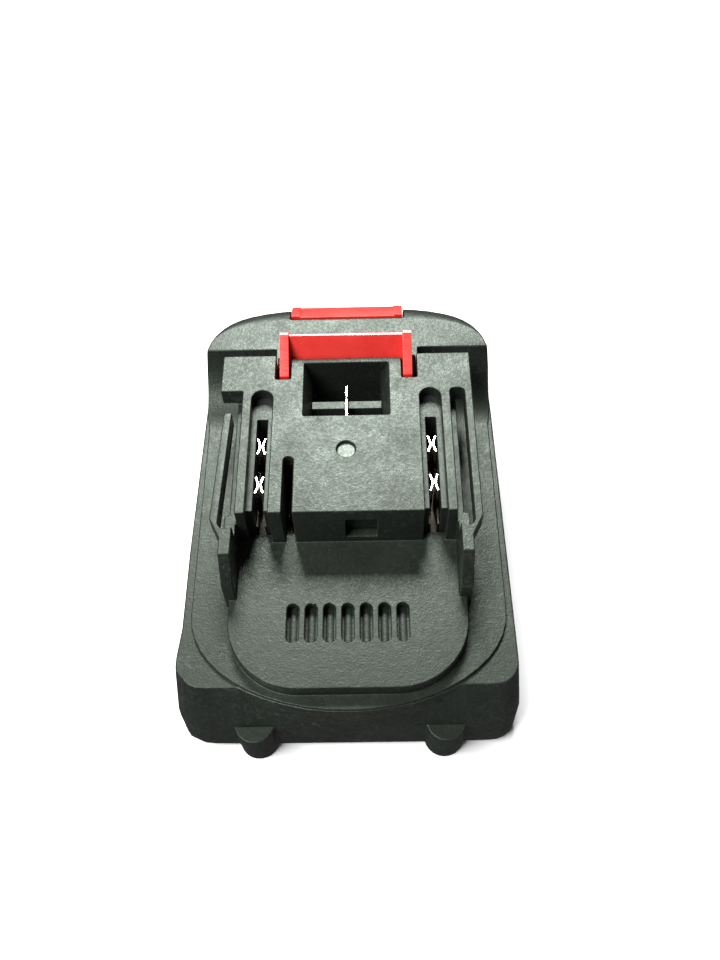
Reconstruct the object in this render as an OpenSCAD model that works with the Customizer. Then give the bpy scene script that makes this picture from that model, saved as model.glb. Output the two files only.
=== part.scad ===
// Slide-on rechargeable battery pack for a hand-held power tool.
// Five cells lie side by side across a two-part case. A rail deck with
// terminal slots stands on the case, and a red latch locks the pack in the tool.
// Frame: X across, Y from the insertion end (-Y) to the release button (+Y),
// Z up from the resting face.

/* [Case] */
// Length of the pack beyond its row of cells: walls, feet and latch
end_room = 21; // [20.5:0.5:24]
// Distance from a cell's end to the outside of the case
side_room = 6.9; // [6.7:0.1:8]
// Height of the rail deck above the resting face
deck_z = 46; // [45:0.5:52]
// Height of the joint between the two case halves
split_z = 27; // [26.5:0.5:29]
// Wall of both case halves
wall = 2.2; // [1.8:0.1:2.4]
// Step by which the upper case stands inside the lower case's rim
rim_w = 1.2; // [0.9:0.1:1.5]
// Radius along the lower case's bottom edges
bottom_r = 2.6; // [2:0.2:4]
// Radius of the lower case's front corners, seen from above
front_corner_r = 6.5; // [5:0.5:8]
// How far the front wall leans back between its knee and the case joint
front_lean = 4.6; // [3:0.2:5]
// How far a side wall leans inwards between the knee and the case joint
side_lean = 1.5; // [0.5:0.1:2]
// Height of the knee in the front wall, level with the top of the feet
knee_z = 13; // [11:0.5:14]

/* [Feet] */
// Distance between the centre lines of the two feet
foot_pitch = 45; // [40:1:50]
// Width of a foot
foot_w = 9.5; // [8:0.5:11]
// How far a foot stands out from the front wall
foot_out = 3.1; // [2.5:0.1:4]

/* [Shoulder and ledge] */
// Height of the shoulder above the case joint
shoulder_h = 1; // [0.8:0.1:1.6]
// Length of the shoulder's half-elliptical front end
shoulder_end_l = 23.3; // [20:0.5:25]
// Height of the ledge above the shoulder
ledge_h = 4; // [3.6:0.2:5]
// Distance from the shoulder's front end to the ledge's front edge
ledge_setback = 3.6; // [3:0.2:4.4]
// Radius of the ledge's front corners
ledge_corner_r = 16.5; // [14:0.5:18]
// Number of cooling vents in the ledge
vent_count = 7; // [5:1:9]
// Width of a vent
vent_w = 2.75; // [2.2:0.05:3]
// Length of a vent
vent_l = 9.5; // [7:0.5:10]
// Spacing of the vents
vent_pitch = 4.2; // [4:0.1:4.8]
// Distance from the ledge's front edge to the vents
vent_setback = 10.7; // [9:0.1:11.5]

/* [Rail deck] */
// Place of the deck's front wall along the pack
deck_front_y = -14.4; // [-15:0.1:-13]
// Place of the deck's rear edge along the pack
deck_back_y = 31.7; // [31:0.1:33]
// Thickness of the deck plate
deck_t = 3; // [2.6:0.1:3.4]
// Width across the outer faces of the two rails
rail_span = 62; // [60:0.5:64]
// Width of a rail arm, seen from above
rail_w = 1.9; // [1.6:0.1:2.4]
// Height of a rail arm
rail_h = 5; // [4:0.5:6]
// Width of the long slot beside each rail arm
rail_slot_w = 3.6; // [3.2:0.1:4]
// Length of the long slot beside each rail arm
rail_slot_l = 38.8; // [36:0.2:41]
// Length of the gap in the left rail arm
rail_gap_l = 6.6; // [5:0.2:8]
// Thickness of the two cheeks in front of the rails
cheek_t = 2.7; // [2.2:0.1:3]
// Length by which a cheek reaches past the deck's front wall
cheek_l = 15; // [14:0.1:17]
// Width of the window in the deck
window_w = 21.3; // [20:0.1:23]
// Length of the window in the deck
window_l = 16.3; // [15.5:0.1:17]
// Diameter of the moulding gate's round recess
gate_d = 4.5; // [3:0.5:6]

/* [Terminals] */
// Width of a power slot in the deck
power_slot_w = 5.2; // [4.6:0.1:5.4]
// Distance from the deck's front wall to the end of a power slot
power_slot_l = 35; // [33:0.5:36]
// Width of the chamber that holds a power terminal
chamber_w = 2.6; // [2.4:0.1:3]
// Thickness of the terminals' sheet metal
sheet_t = 0.4; // [0.3:0.05:0.5]
// Distance of the data slot's centre line from the middle of the pack
data_x = 13.6; // [13.4:0.1:14]
// Width of the data slot
data_slot_w = 2.4; // [2:0.1:2.8]
// Distance from the deck's front wall to the end of the data slot
data_slot_l = 15.3; // [13:0.5:17]
// Thickness of the centre blade
blade_t = 0.6; // [0.5:0.1:1]
// Length of the centre blade
blade_l = 10; // [9:0.5:10.5]

/* [Latch] */
// Width of the hook
hook_w = 33; // [32:0.5:34]
// Height of the hook above the deck
hook_rise = 5; // [4:0.5:6]
// Width of a hook arm
hook_arm_w = 2.3; // [2:0.1:2.4]
// Length of a hook arm ahead of the hook's ramp
hook_arm_l = 6.4; // [5:0.2:7]
// Distance that the latch slides down when the button is pressed
latch_travel = 5; // [4:0.5:5]
// Width of the release button
button_w = 29.7; // [28:0.1:30]
// Height of the release button's face
button_h = 19; // [17:0.5:20]
// Outer diameter of a latch spring
spring_d = 4.2; // [3.8:0.1:4.4]
// Diameter of the spring wire
spring_wire = 0.6; // [0.5:0.05:0.7]
// Number of turns of a latch spring
spring_turns = 7; // [6:1:8]

/* [Cells] */
// Diameter of a cell
cell_d = 18.3; // [18.1:0.05:18.5]
// Length of a cell
cell_l = 65.2; // [64.6:0.1:65.6]
// Gap between neighbouring cells
cell_gap = 0.3; // [0.2:0.05:0.4]
// Thickness of the foam under the cell holders
foam_t = 1; // [0.8:0.1:1.4]
// Thickness of the nickel links
link_t = 0.3; // [0.15:0.05:0.4]

/* [Circuit board] */
// Thickness of the circuit board
board_t = 1.6; // [1.2:0.2:1.8]
// Height of the posts that carry the circuit board
post_h = 2; // [1.6:0.1:2.2]

/* [Fasteners] */
// Thread diameter of the case screws
case_screw_d = 3; // [2.6:0.2:3.2]
// Thread diameter of the board screws
board_screw_d = 2; // [1.8:0.1:2.2]

/* [Hidden] */

$fn = 48;
eps = 0.02;
// Clearance of a piece that slides, and of one that is seated
run_gap = 0.35;
seat_gap = 0.1;

// Overall size, which follows the row of cells
cell_count = 5;
cell_pitch = cell_d + cell_gap;
pack_w = cell_l + 2 * side_room;
pack_l = cell_count * cell_pitch + end_room;

// Ends of the case
feet_y = -pack_l / 2;
button_y = pack_l / 2;
button_proud = 0.4;
front_y = feet_y + foot_out;
back_y = button_y - button_proud;

// Outline of the case: straight sides, rounder towards the rear
half_w = pack_w / 2;
rim_x = half_w - side_lean;
shoulder_x = rim_x - rim_w;
front_draft = 0.7;
bow_w = 0.2;
bow_spread = 0.3;
rear_start_y = deck_back_y - 4.9;
rear_squareness = 3.5;
crest_squareness = 4.3;
outline_step = 7.5;
corner_step = 15;

// Levels
shoulder_z = split_z + shoulder_h;
ledge_z = shoulder_z + ledge_h;
rear_drop = 5.5;
rear_z = deck_z - rear_drop;
skin_z = shoulder_z - wall;
deck_under_z = deck_z - deck_t;
rail_under_z = deck_z - rail_h;

// Shoulder and ledge
shoulder_front_y = front_y - 0.5;
shoulder_y0 = shoulder_front_y + shoulder_end_l;
ledge_front_y = shoulder_front_y + ledge_setback;
vent_y = ledge_front_y + vent_setback;
ledge_x = (rail_span - 7) / 2;

// Rear block: concave seat behind the deck, plateau and rounded rim
seat_r = 17;
seat_h = rear_z - shoulder_z;
seat_top_y = back_y - 18.2;
seat_y = seat_top_y - sqrt(pow(seat_r, 2) - pow(seat_r - seat_h, 2));
rear_inset = 0.5;
rim_fall = 7;
crest_inset = 7.8;

// Rail deck
rail_x = rail_span / 2;
rail_slot_x = rail_x - rail_w - rail_slot_w / 2;
rail_slot_y = deck_front_y - 3.9;
rail_taper_y = deck_front_y - 1.3;
rail_end_y = rail_slot_y - 2.3;
web_x = rail_slot_x - rail_slot_w / 2 + 1.8;
web_top_z = rail_under_z;
rail_gap_y = rail_slot_y + rail_slot_l - rail_gap_l;
cheek_x = web_x - 1.5;
cheek_end_y = deck_front_y - cheek_l;
window_y = deck_back_y - 2.7 - window_l;
window_funnel = [1.8, 5];
window_in_x = window_w / 2 - window_funnel[0];
tube_t = 1.5;
gate_y = deck_front_y + 17.2;
front_hole = [7.3, 7.9];
front_hole_x = 3.4;
front_hole_drop = 4;
rail_slot_r = 1.2;

// Terminals
power_x = cheek_x - 5.2;
power_end_y = deck_front_y + power_slot_l;
data_end_y = deck_front_y + data_slot_l;
deck_inner_x = web_x - wall;
block_x = deck_inner_x - 0.7;
block_front_y = deck_front_y + wall + 0.2;
block_top_z = deck_under_z - 0.3;
block_mid_back_y = window_y - 1.7;
block_back_y = power_end_y + 1.4;
chamber_end_y = power_end_y - 6.6;
bar_x = window_in_x - seat_gap;
bar_drop = 5;
bar_t = 2.3;
bar_y = window_y + 5.6;
grip_l = 4.4;
blade_y = window_y + 0.7;
blade_z = deck_z - 2.5;

// Cells and their holders
row_y = -2.7;
weld_h = 0.7;
weld_r = 1.6;
link_w = 7.6;
link_window_r = 6;
web_t = 0.75;
holder_z = wall + foam_t;
cell_z = holder_z + web_t + cell_d / 2;
holder_top_z = cell_z + cell_d / 2 + web_t;
holder_lip = 1.2;
holder_x = cell_l / 2 + holder_lip;
board_x = deck_inner_x - 0.6;
post_x = board_x - 2.5;
holder_in_x = post_x - 1.7;
row_half = (cell_count - 1) / 2 * cell_pitch + cell_d / 2 + web_t;
holder_front_y = row_y - row_half;
holder_back_y = row_y + row_half;

// Latch
hook_x = hook_w / 2;
hook_lug_h = 0.5;
hook_gap = 1.15;
hook_slot_x = hook_x + hook_gap;
tube_back_y = window_y + window_l + tube_t;
hook_y = tube_back_y + 0.4;
hook_ramp_l = 3.3;
hook_back_y = hook_y + hook_ramp_l + 1;
hook_arm_y = hook_y - hook_arm_l;
housing_y = hook_back_y + run_gap;
housing_x = hook_slot_x + 0.8;
bridge_t = 2.5;
bridge_z = rear_z - wall - 2.8 - bridge_t;
button_x = button_w / 2;
button_slot_x = button_x + run_gap;
button_top_z = rear_z - 0.3;
button_bottom_z = button_top_z - button_h + hook_lug_h;
lip_angle = 84;
rim_curve = [8.7, rear_z - rim_fall, 7.2];
lip_y = button_y - rim_curve[0] * (1 - cos(lip_angle));
face_t = 2.3;
face_y = button_y - face_t;
joint_gap = 0.05;
skirt_t = 1.7;
skirt_y = back_y - wall - 0.4 - skirt_t;
notch_z = button_bottom_z - latch_travel - 0.5;
spring_x = 9;
spring_y = holder_back_y + 2.55;
spring_z = 18;
pin_r = spring_d / 2 - spring_wire - 0.15;

// Circuit board
board_z = holder_top_z + post_h;
board_top_z = board_z + board_t;
board_front_y = deck_front_y - 28.8;
board_back_y = deck_back_y - wall - 0.3;
board_corner_r = 10;
post_ys = [row_y - (cell_count / 2 - 1) * cell_pitch, row_y + (cell_count / 2 - 1) * cell_pitch];

// Case screws
screw_x = 23;
wall_gap = 4.3;
screw_y = back_y - wall - wall_gap;
screw_head_r = 0.8 * case_screw_d;
boss_r = 3.4;
boss_joint_z = skin_z - 1.8;
counterbore_z = 8;

function cell_y(i) = row_y + (i - (cell_count - 1) / 2) * cell_pitch;
function signed_pow(v, p) = sign(v) * pow(abs(v), p);

// Rear half of a rounded outline that runs from side to side
function rear_arc(a, b, n) = [
    for (t = [0 : outline_step : 180])
        [a * signed_pow(cos(t), 2 / n), rear_start_y + b * pow(abs(sin(t)), 2 / n)]
];

// Half-elliptical front end of the shoulder
function front_arc(inset) = [
    for (t = [180 : outline_step : 360])
        [(shoulder_x - inset) * cos(t), shoulder_y0 + (shoulder_end_l - inset) * sin(t)]
];

// Outline of the lower case with its sides at x and its front at y
function case_outline(x, y, back, r) = concat(
    rear_arc(x, back - rear_start_y, rear_squareness),
    [for (a = [180 : corner_step : 270]) [-x + r + r * cos(a), y + r + r * sin(a)]],
    [for (a = [270 : corner_step : 360]) [x - r + r * cos(a), y + r + r * sin(a)]]
);

// The same outline at the foot, the knee and the case joint, drawn inwards by inset
function foot_outline(inset) =
    case_outline(half_w - inset, front_y + inset, back_y - inset, front_corner_r - inset);
function knee_outline(inset) =
    case_outline(half_w - inset, front_y + front_draft + inset, back_y - inset, front_corner_r - inset);
function joint_outline(inset) =
    case_outline(rim_x - inset, front_y + front_draft + front_lean + inset, back_y - inset,
                 front_corner_r - 1 - inset);

module along_x(l) rotate([90, 0, 90]) linear_extrude(l, center = true) children();
module along_y(l) rotate([90, 0, 0]) linear_extrude(l, center = true) children();
module both_sides() { children(); mirror([1, 0, 0]) children(); }

// Box from its low corner to its high corner
module span(low, high) translate(low) cube(high - low);

// Plain slot along Y with round ends
module slot_2d(x, y0, y1, w) {
    translate([x - w / 2, y0 + w / 2]) square([w, y1 - y0 - w]);
    translate([x, y0 + w / 2]) circle(d = w);
    translate([x, y1 - w / 2]) circle(d = w);
}

// Slot along Y that is round at its far end only
module open_slot_2d(x, y0, y1, w) {
    translate([x - w / 2, y0]) square([w, y1 - y0 - w / 2]);
    translate([x, y1 - w / 2]) circle(d = w);
}

// Long slot beside a rail arm, with a squarer far end
module rail_slot_2d() {
    x = rail_slot_x;
    half = rail_slot_w / 2;
    y0 = rail_slot_y + half;
    y1 = rail_slot_y + rail_slot_l;
    r = rail_slot_r;
    translate([x, y0]) circle(half);
    translate([x - half, y0]) square([2 * half, y1 - r - y0]);
    translate([x - half + r, y0]) square([2 * (half - r), y1 - y0]);
    for (s = [-1, 1]) translate([x + s * (half - r), y1 - r]) circle(r);
}

// Outline of the upper case, drawn inwards by inset
module shoulder_2d(inset) polygon(concat(
    front_arc(inset),
    rear_arc(shoulder_x - inset, back_y - rear_start_y - rear_inset - inset, rear_squareness)
));

// Body of the lower case: rounded bottom edges, straight up to its knee, then leaning inwards
module tub(inset) {
    r = max(bottom_r - inset, 0.4);
    turns = [0 : 22.5 : 90];
    loft(
        concat([for (a = turns) foot_outline(inset + r * (1 - sin(a)))],
               [knee_outline(inset), joint_outline(inset)]),
        concat([for (a = turns) inset + r * (1 - cos(a))], [knee_z, split_z])
    );
}

// Bow that carries the leaning front wall out to the shoulder's round end
module front_bow(inset) {
    top = [for (t = [180 : outline_step : 360])
        [(rim_x - inset) * cos(t), shoulder_y0 + (shoulder_end_l + bow_w - inset) * sin(t)]];
    narrow = (half_w - front_corner_r - 4) / rim_x;
    top_front = shoulder_front_y - bow_w + inset;
    foot_front = front_y + front_draft + inset;
    foot = [for (p = top) [p[0] * narrow, foot_front + bow_spread * (p[1] - top_front)]];
    loft([foot, top], [knee_z, split_z]);
}

module foot() {
    r = foot_w / 2;
    x = foot_pitch / 2;
    intersection() {
        translate([x, feet_y + r, 0]) cylinder(h = knee_z, r = r);
        span([x - r, feet_y, 0], [x + r, front_y + wall / 2, knee_z]);
    }
}

module lower_case() color([0.13, 0.14, 0.13]) difference() {
    union() {
        difference() {
            union() {
                tub(0);
                front_bow(0);
            }
            intersection() {
                tub(wall);
                span([-half_w, feet_y, 0], [half_w, button_y, split_z - wall]);
            }
            intersection() {
                front_bow(wall);
                span([-half_w, feet_y, 0], [half_w, shoulder_y0, split_z - wall]);
            }
            translate([0, 0, split_z - wall - eps]) linear_extrude(wall + 1)
                shoulder_2d(wall - rim_w);
        }
        both_sides() {
            foot();
            case_boss();
            spring_pillar();
            for (y = [holder_front_y + 18, row_y, holder_back_y - 18]) side_rib(y);
        }
    }
    both_sides() translate([screw_x, screw_y, -eps]) {
        cylinder(h = counterbore_z + eps, r = screw_head_r + 0.25);
        cylinder(h = split_z, r = case_screw_d / 2 + 0.2);
    }
    span([-button_slot_x, back_y - wall - 1, notch_z], [button_slot_x, button_y, split_z + 1]);
}

// Boss that a case screw passes through
module case_boss() intersection() {
    translate([screw_x, screw_y, 0]) union() {
        cylinder(h = boss_joint_z, r = boss_r);
        span([-1, 0, 0], [1, wall_gap + wall / 2, boss_joint_z]);
    }
    tub(wall / 2);
}

// Pillar and pin under a latch spring
module spring_pillar() translate([spring_x, spring_y, 0]) {
    cylinder(h = spring_z, d = spring_d);
    cylinder(h = spring_z + latch_travel + 0.6, r = pin_r);
}

// Rib that keeps a cell holder in the middle of the case
module side_rib(y) span(
    [holder_x + link_t + 0.5, y - 1, bottom_r],
    [half_w - wall / 2, y + 1, holder_top_z - 3]
);

// Solid through a stack of outlines that have the same number of points
module loft(outlines, levels) {
    n = len(outlines[0]);
    last = len(outlines) - 1;
    polyhedron(
        [for (k = [0 : last], p = outlines[k]) [p[0], p[1], levels[k]]],
        concat(
            [[for (j = [0 : n - 1]) j]],
            [for (k = [0 : last - 1], j = [0 : n - 2]) [k * n + j, (k + 1) * n + j, (k + 1) * n + j + 1]],
            [for (k = [0 : last - 1], j = [0 : n - 2]) [k * n + j, (k + 1) * n + j + 1, k * n + j + 1]],
            [for (k = [0 : last - 1]) [k * n + n - 1, (k + 1) * n + n - 1, (k + 1) * n, k * n]],
            [[for (j = [n - 1 : -1 : 0]) last * n + j]]
        )
    );
}

// Rear block of the upper case, drawn inwards by inset, from the given level up
module rear_block(inset, low) {
    turns = [for (i = [0 : 5]) 90 * i / 5];
    blends = [for (turn = turns) 1 - cos(turn)];
    rings = [for (blend = concat([0], blends)) let (x = rim_x - rear_inset - inset - 0.3 * blend) concat(
        [[shoulder_x - inset, seat_y]],
        rear_arc(
            x, back_y - rear_inset - inset - rear_start_y - crest_inset * blend,
            rear_squareness + (crest_squareness - rear_squareness) * blend
        ),
        [[inset - shoulder_x, seat_y]]
    )];
    levels = concat([low], [for (turn = turns) rear_z - inset - rim_fall * (1 - sin(turn))]);
    loft(rings, levels);
}

// Concave seat for the tool's housing
module seat_cut(r) translate([0, seat_y, shoulder_z + seat_r]) rotate([0, 90, 0])
    cylinder(h = 2 * pack_w, r = r, center = true, $fn = 96);

module ledge_2d(inset) {
    x = ledge_x - inset;
    y = ledge_front_y + inset;
    r = ledge_corner_r - inset;
    translate([-x, y + r]) square([2 * x, seat_y - y - r]);
    translate([-x + r, y]) square([2 * (x - r), r + eps]);
    for (s = [-1, 1]) translate([s * (x - r), y + r]) circle(r);
}

// Rails and deck plate, seen from above
module deck_2d() {
    translate([-rail_x, rail_taper_y]) square([2 * rail_x, deck_back_y - rail_taper_y]);
    for (s = [-1, 1]) polygon([
        [s * cheek_x, rail_taper_y + eps], [s * rail_x, rail_taper_y + eps],
        [s * (cheek_x + cheek_t), rail_end_y], [s * cheek_x, rail_end_y]
    ]);
}

module rails() difference() {
    translate([0, 0, rail_under_z]) linear_extrude(rail_h) deck_2d();
    span([-cheek_x, rail_end_y - 1, 0], [cheek_x, deck_front_y, deck_z + 1]);
}

// Cheek that guides the tool's terminal carrier, with its sloping front
module cheek() translate([cheek_x + cheek_t / 2, 0, 0]) along_x(cheek_t) polygon([
    [deck_front_y + wall, skin_z], [cheek_end_y, skin_z], [cheek_end_y, ledge_z + 1],
    [cheek_end_y + 0.3, deck_z - 8], [cheek_end_y + 4.7, deck_z], [deck_front_y + wall, deck_z]
]);

module deck_block() {
    span([-web_x, deck_front_y, skin_z], [web_x, deck_back_y, deck_z]);
    rails();
    both_sides() cheek();
}

// Space of the window, which narrows below the deck
module window_space(y0, y1, low) translate([0, (y0 + y1) / 2, 0]) along_y(y1 - y0) polygon([
    [-window_in_x, low], [window_in_x, low], [window_in_x, deck_z - window_funnel[1]],
    [window_w / 2, deck_z], [window_w / 2, deck_z + 20], [-window_w / 2, deck_z + 20],
    [-window_w / 2, deck_z], [-window_in_x, deck_z - window_funnel[1]]
]);

// Walls that hang around the window
module window_tube() difference() {
    x = window_w / 2 + tube_t;
    span([-x, window_y, board_top_z + 0.6], [x, tube_back_y, deck_z]);
    window_space(window_y - 1, window_y + window_l, 0);
}

module upper_shell() {
    translate([0, 0, split_z]) linear_extrude(shoulder_h) shoulder_2d(0);
    translate([0, 0, skin_z]) linear_extrude(split_z - skin_z + eps)
        shoulder_2d(wall - rim_w + seat_gap);
    translate([0, 0, split_z]) linear_extrude(ledge_z - split_z) ledge_2d(0);
    difference() {
        rear_block(0, split_z + eps);
        difference() {
            seat_cut(seat_r);
            span([-housing_x, deck_back_y - 1, skin_z], [housing_x, seat_top_y + 1, deck_z]);
        }
    }
    deck_block();
}

// Space inside the upper case
module upper_hollow() {
    low = skin_z - 1;
    translate([0, 0, low]) linear_extrude(ledge_z - wall - low) intersection() {
        ledge_2d(wall);
        translate([-pack_w, feet_y]) square([2 * pack_w, deck_front_y + wall - feet_y]);
    }
    span([-deck_inner_x, deck_front_y + wall - eps, low],
         [deck_inner_x, deck_back_y - wall, deck_under_z]);
    span([-hook_slot_x, deck_back_y - wall - eps, low],
         [hook_slot_x, seat_top_y + wall, rear_z - wall]);
    difference() {
        rear_block(wall + rear_inset, low);
        seat_cut(seat_r + wall);
    }
}

// Everything that is cut through the deck plate
module deck_cuts() {
    top = deck_z + 20;
    translate([0, 0, web_top_z]) linear_extrude(top - web_top_z) both_sides() rail_slot_2d();
    span([-rail_x - 1, rail_gap_y, web_top_z],
         [-rail_slot_x + rail_slot_w / 2, rail_gap_y + rail_gap_l, top]);
    translate([0, 0, ledge_z]) linear_extrude(top - ledge_z) {
        both_sides() open_slot_2d(power_x, deck_front_y - 1, power_end_y, power_slot_w);
        open_slot_2d(-data_x, deck_front_y - 1, data_end_y, data_slot_w);
    }
    window_space(window_y, window_y + window_l, ledge_z);
    translate([0, gate_y, deck_z - 0.35]) cylinder(h = 1, d = gate_d);
    translate([front_hole_x - front_hole[0] / 2, deck_front_y - 1,
               deck_z - front_hole_drop - front_hole[1]])
        cube([front_hole[0], wall + 2, front_hole[1]]);
}

// Everything that makes way for the latch
module latch_cuts() {
    top = deck_z + 20;
    both_sides() span([hook_x - hook_arm_w - run_gap, hook_arm_y - 0.4, skin_z - 1],
                      [hook_slot_x, housing_y, top]);
    span([-hook_slot_x, tube_back_y, skin_z - 1], [hook_slot_x, housing_y, top]);
    span([-button_slot_x, lip_y - run_gap, skin_z - 1], [button_slot_x, button_y + 1, top]);
}

module upper_case() color([0.15, 0.16, 0.15]) difference() {
    union() {
        difference() {
            upper_shell();
            upper_hollow();
        }
        window_tube();
        both_sides() {
            upper_boss();
            latch_stop();
            corner_hook();
        }
    }
    deck_cuts();
    latch_cuts();
    vents();
    both_sides() translate([screw_x, screw_y, boss_joint_z - eps])
        cylinder(h = 9, r = case_screw_d / 2 + 0.05);
}

module vents() for (i = [0 : vent_count - 1])
    translate([0, 0, ledge_z - wall - 1]) linear_extrude(wall + 2)
        slot_2d((i - (vent_count - 1) / 2) * vent_pitch, vent_y, vent_y + vent_l, vent_w);

// Boss that takes a case screw, with a rib to the rear wall
module upper_boss() {
    intersection() {
        translate([screw_x, screw_y, split_z]) union() {
            cylinder(h = 9, r = boss_r - 0.4);
            span([-1, 0, 0], [1, wall_gap + wall / 2, 6]);
        }
        rear_block(wall / 2, split_z);
    }
    intersection() {
        translate([screw_x, screw_y, boss_joint_z])
            cylinder(h = split_z - boss_joint_z + eps, r = boss_r - 0.4);
        linear_extrude(split_z + eps) shoulder_2d(wall - rear_inset + seat_gap);
    }
}

// Stop above the latch's bridge
module latch_stop() {
    y = seat_top_y;
    span([button_x - 6, y, bridge_z + bridge_t + run_gap],
         [button_x - 3, y + 5, rear_z - wall / 2]);
}

// Hook that holds the front of the upper case under the lower case's corner
module corner_hook() {
    x = rim_x - 10.5;
    a = rim_x - wall;
    b = shoulder_end_l - (wall - rim_w);
    y = shoulder_y0 - b * sqrt(1 - pow((x + 3) / a, 2));
    top = split_z - wall - 0.1;
    span([x - 3, y + 0.3, holder_top_z + 0.15], [x + 3, y + 3, skin_z + eps]);
    span([x - 3, y - 1, holder_top_z + 0.15], [x + 3, y + 3, top]);
}

// Side view of the hook: ramp towards the insertion end, upright back
module hook_profile() polygon([
    [hook_y + 1.2, bridge_z], [hook_back_y, bridge_z],
    [hook_back_y, deck_z + 1.5], [hook_back_y - 0.9, deck_z + hook_rise],
    [hook_back_y - 1.5, deck_z + hook_rise], [hook_y + 0.4, deck_z + 0.2],
    [hook_y, deck_z - 1.5], [hook_y + 1.2, deck_z - 3]
]);

// Side view of a hook arm, which rises in one long slope
module hook_arm_profile() polygon([
    [hook_arm_y, bridge_z + bridge_t + 3], [hook_y + 1, bridge_z],
    [hook_back_y, bridge_z], [hook_back_y, deck_z + 1.5],
    [hook_back_y - 0.7, deck_z + hook_rise + hook_lug_h],
    [hook_back_y - 1.6, deck_z + hook_rise + hook_lug_h], [hook_arm_y, deck_z + 0.4]
]);

module latch_hook() color([0.78, 0.08, 0.09]) {
    along_x(hook_w - hook_arm_w) hook_profile();
    both_sides() translate([hook_x - hook_arm_w / 2, 0, 0]) along_x(hook_arm_w) hook_arm_profile();
    span([-hook_x, hook_y + 1.2, bridge_z], [hook_x, holder_back_y - 4, bridge_z + bridge_t]);
    span([-button_x, holder_back_y - 4 - eps, bridge_z], [button_x, face_y - 0.7, bridge_z + bridge_t]);
    both_sides() translate([spring_x, spring_y, bridge_z - 2.4]) cylinder(h = 3, r = pin_r);
}

// Side view of the button: a shell that follows the case's rear rim, then its flat face
module button_profile(rise) {
    turns = [0 : 12 : lip_angle];
    ry = rim_curve[0];
    rz = rim_curve[2];
    y = button_y - ry;
    z = rim_curve[1];
    polygon(concat(
        [[face_y, button_bottom_z], [button_y, button_bottom_z]],
        [for (a = turns) [y + ry * cos(a), z + (rz + rise) * sin(a)]],
        [for (i = [len([for (a = turns) a]) - 1 : -1 : 0]) let (a = 12 * i)
            [max(lip_y, y + (ry - face_t) * cos(a)), z + (rz - face_t) * sin(a)]]
    ));
}

module release_button() color([0.8, 0.09, 0.1]) {
    along_x(button_w) button_profile(0);
    both_sides() translate([button_x - 1.1, 0, 0]) along_x(2.2) button_profile(hook_lug_h);
    span([-button_x, face_y - 1, button_bottom_z], [button_x, face_y + eps, bridge_z - joint_gap]);
    span([-button_x, face_y - 1.9, bridge_z + bridge_t + joint_gap],
         [button_x, face_y - 0.3, bridge_z + bridge_t + 1.2]);
    span([-button_x, skirt_y, button_bottom_z - latch_travel - 3],
         [button_x, skirt_y + skirt_t, bridge_z - joint_gap]);
    span([-button_x, skirt_y, button_bottom_z], [button_x, face_y + eps, button_bottom_z + 4]);
}

// Coil spring as a ring of wire sections carried around the helix
module coil(r, wire_r, l, turns) {
    sides = 6;
    per_turn = 14;
    rings = per_turn * turns;
    points = [
        for (i = [0 : rings]) let (a = 360 * i / per_turn, z = wire_r + (l - 2 * wire_r) * i / rings)
            for (j = [0 : sides - 1]) let (b = 360 * j / sides)
                [(r + wire_r * cos(b)) * cos(a), (r + wire_r * cos(b)) * sin(a), z + wire_r * sin(b)]
    ];
    faces = concat(
        [[for (j = [0 : sides - 1]) j]],
        [for (i = [0 : rings - 1], j = [0 : sides - 1]) let (k = (j + 1) % sides)
            [i * sides + j, (i + 1) * sides + j, (i + 1) * sides + k, i * sides + k]],
        [[for (j = [sides - 1 : -1 : 0]) rings * sides + j]]
    );
    polyhedron(points, faces);
}

module latch_spring(side) color([0.75, 0.76, 0.78])
    translate([side * spring_x, spring_y, spring_z])
        coil((spring_d - spring_wire) / 2, spring_wire / 2, bridge_z - spring_z, spring_turns);
module latch_spring_left() latch_spring(-1);
module latch_spring_right() latch_spring(1);

module terminal_block() color([0.1, 0.1, 0.1]) difference() {
    z = board_top_z;
    tube_x = window_w / 2 + tube_t + 0.3;
    union() {
        span([-block_x, block_front_y, z], [block_x, block_mid_back_y, block_top_z]);
        both_sides() span([hook_x - 0.5, block_mid_back_y - eps, z], [block_x, block_back_y, block_top_z]);
        both_sides() span([tube_x, block_mid_back_y - eps, z], [hook_x, hook_arm_y - 1, block_top_z]);
        span([-bar_x, block_mid_back_y - eps, z], [bar_x, bar_y, z + 3]);
        span([-bar_x, bar_y, z], [bar_x, bar_y + bar_t, deck_z - bar_drop]);
    }
    floor_z = board_top_z + 3;
    both_sides() {
        span([power_x - chamber_w / 2, block_front_y - 1, floor_z],
             [power_x + chamber_w / 2, chamber_end_y, block_top_z + 1]);
        for (y = [block_front_y + 3, chamber_end_y - 3])
            span([power_x - 0.6, y - 0.8, z - 1], [power_x + 0.6, y + 0.8, floor_z + 1]);
        // Weight-saving pockets under the deck plate
        span([3.5, block_front_y + 6, floor_z],
             [data_x - data_slot_w, block_mid_back_y - 2, block_top_z + 1]);
    }
    span([-data_x - data_slot_w / 2, block_front_y - 1, floor_z],
         [-data_x + data_slot_w / 2, data_end_y, block_top_z + 1]);
    span([-data_x - 0.6, data_end_y - 4, z - 1], [-data_x + 0.6, data_end_y - 2.4, floor_z + 1]);
    span([-blade_t / 2 - 0.05, block_mid_back_y - 1, z - 1],
         [blade_t / 2 + 0.05, bar_y + bar_t + 1, deck_z]);
}

// One wall of a terminal, seen from above: bowed inwards at each grip
function leaf_offset(y, grips) =
    let (near = min([for (g = grips) abs(y - g)]), reach = 3)
    chamber_w / 2 - sheet_t - 0.1 - (near < reach ? (1 + cos(180 * near / reach)) / 2 : 0)
        * (chamber_w / 2 - sheet_t - 0.25);

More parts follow.
